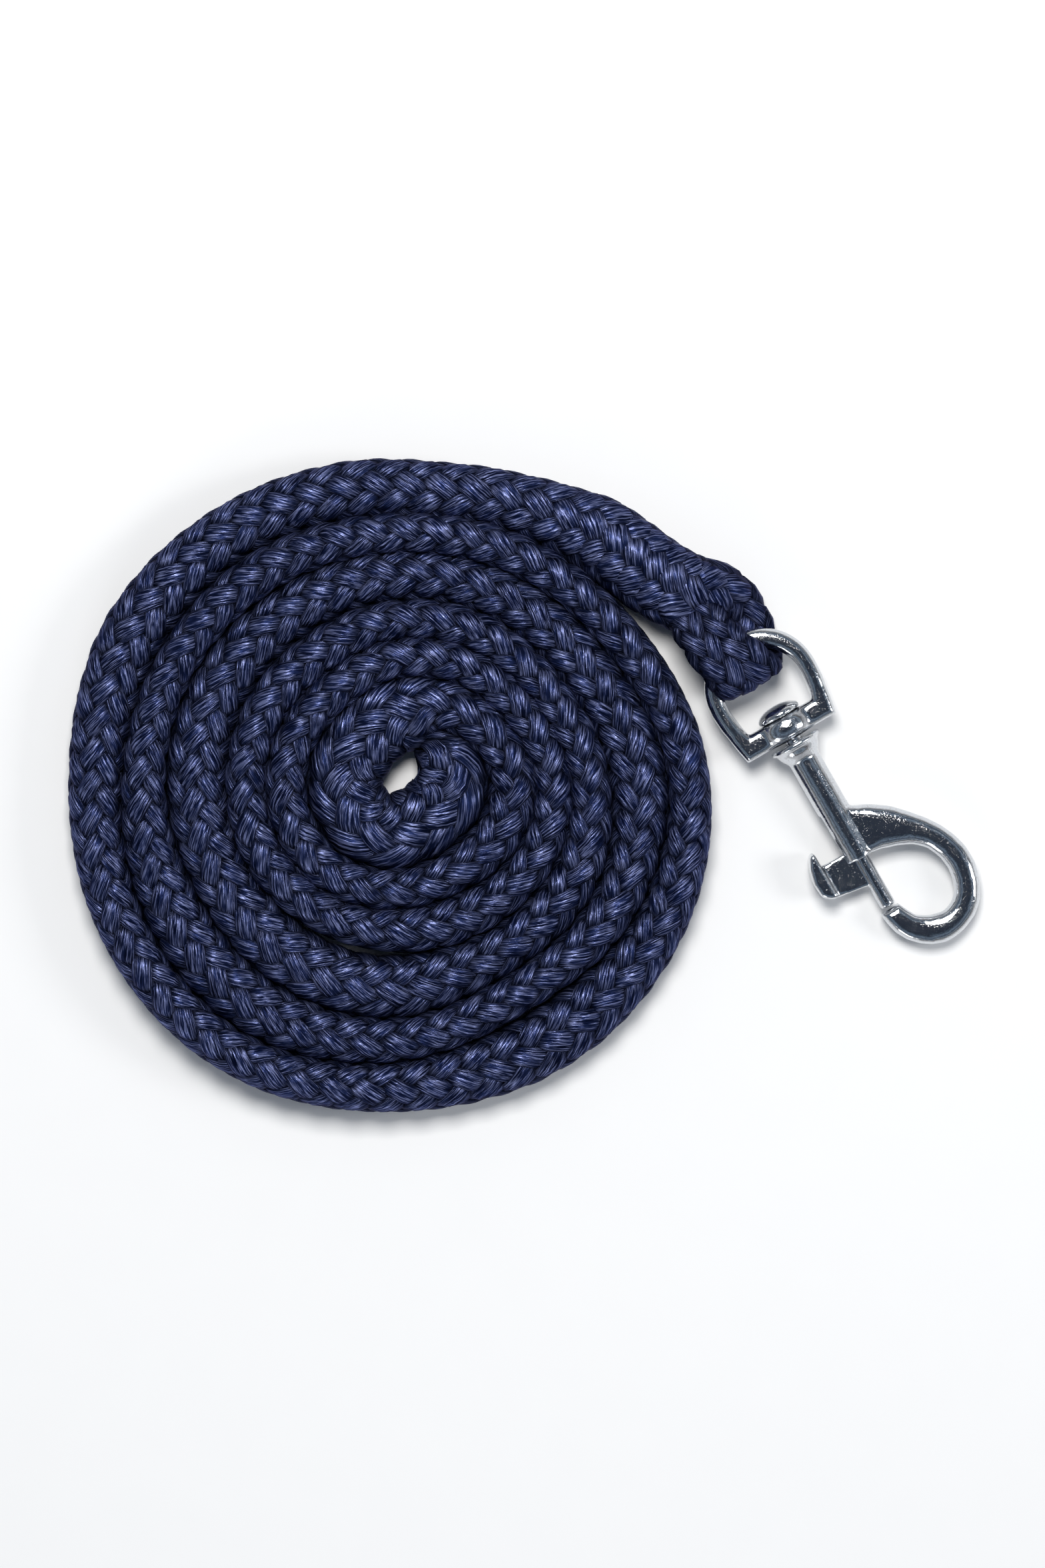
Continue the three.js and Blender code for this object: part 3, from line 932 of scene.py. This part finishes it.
# %% [markdown]
# The spring is pressed together when the bolt is drawn back. Here it rides on the snap's body with a mesh of
# its own and keeps its shape as the bolt slides; how short the bolt's full travel would press it is printed.
# %% Where the spring rides
bolt_travel = max(abs(end) for end in joints["bolt_slide"]["range_m"]) / MM
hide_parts("bolt_spring")
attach(spring, "snap")
1 - bolt_travel / spring_length
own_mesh(spring)
print("spring", round(spring_length, 2), "mm long, pressed to", round(spring_length - bolt_travel, 2), "mm")

# %% [markdown]
# The studio has a plain pale floor, of paper with a faint grain. It lies a hair under the rope.
# %% The floor
FLOOR_SIZE = 3.0
FLOOR_DROP = 0.0001
PAPER_DARK = (0.97, 0.97, 0.97, 1)
PAPER_LIGHT = (0.985, 0.985, 0.985, 1)
PAPER_GRAIN = (60.0, 2.0)

floor_mesh = bmesh.new()
bmesh.ops.create_grid(floor_mesh, x_segments=1, y_segments=1, size=FLOOR_SIZE)
bmesh.ops.translate(floor_mesh, verts=floor_mesh.verts, vec=(0, 0, -FLOOR_DROP))
floor = as_piece("floor", floor_mesh, smooth=False)
paper = Finish("pale paper")
paper_grain = paper.noise(paper.place(), *PAPER_GRAIN)
floor.data.materials.append(
    paper.surface(Base_Color=paper.blend(paper_grain, PAPER_DARK, PAPER_LIGHT), Roughness=0.9)
)

# %% [markdown]
# Soft light from three large lamps: a key lamp high on one side, and two weaker ones that open the shadows.
# %% The lamps
LAMPS = [
    # name, watts, size, place from the middle of the rope, colour
    ("key lamp", 20, 0.6, (-0.55, 0.25, 1.45), (1.0, 0.985, 0.96)),
    ("side lamp", 4, 0.4, (0.6, 1.0, 0.8), (1, 1, 1)),
    ("low lamp", 2.5, 0.5, (0.9, -0.9, 0.6), (1, 1, 1)),
]


def lamp(name, watts, size, offset, colour):
    """A square soft lamp that points at the middle of the rope."""
    data = bpy.data.lights.new(name, "AREA")
    data.energy, data.size, data.color = watts, size, colour
    made = bpy.data.objects.new(name, data)
    made.location = middle + Vector(offset)
    made.rotation_euler = (middle - made.location).to_track_quat("-Z", "Y").to_euler()
    bpy.context.scene.collection.objects.link(made)
    return made


lamps = [lamp(*row) for row in LAMPS]
print("lamps", [made.name for made in lamps])

# %% [markdown]
# The sky is bright at the sides, with darker and lighter bands overhead. Plated metal shows nothing but
# what is round it, so the bands are what give it its dark core and bright rims.
# %% The sky
SKY_STRENGTH = 0.8
SKY = [
    # height of the sky (0 the horizon, 1 overhead) and its colour there
    (0.08, (0.80, 0.80, 0.80, 1)),
    (0.28, (0.55, 0.57, 0.60, 1)),
    (0.42, (0.10, 0.08, 0.07, 1)),
    (0.56, (0.34, 0.42, 0.50, 1)),
    (0.70, (0.06, 0.07, 0.10, 1)),
    (0.84, (0.22, 0.29, 0.38, 1)),
    (0.94, (0.03, 0.04, 0.06, 1)),
    (1.00, (0.04, 0.05, 0.075, 1)),
]

world = bpy.data.worlds.new("studio")
world.use_nodes = True
bpy.context.scene.world = world
sky = Nodes(world.node_tree)
sky_place = sky.node("ShaderNodeTexCoord", output=0)
sky_height = sky.node("ShaderNodeSeparateXYZ", None, {0: sky_place}, 2)
sky_colour = sky.node("ShaderNodeValToRGB", {"stops": SKY}, {0: sky_height})
sky_light = sky.node("ShaderNodeBackground", None, {"Color": sky_colour, "Strength": SKY_STRENGTH})
sky.node("ShaderNodeOutputWorld", None, {"Surface": sky_light})
bpy.context.scene.view_settings.view_transform = "Standard"
print("sky with", len(SKY), "bands")
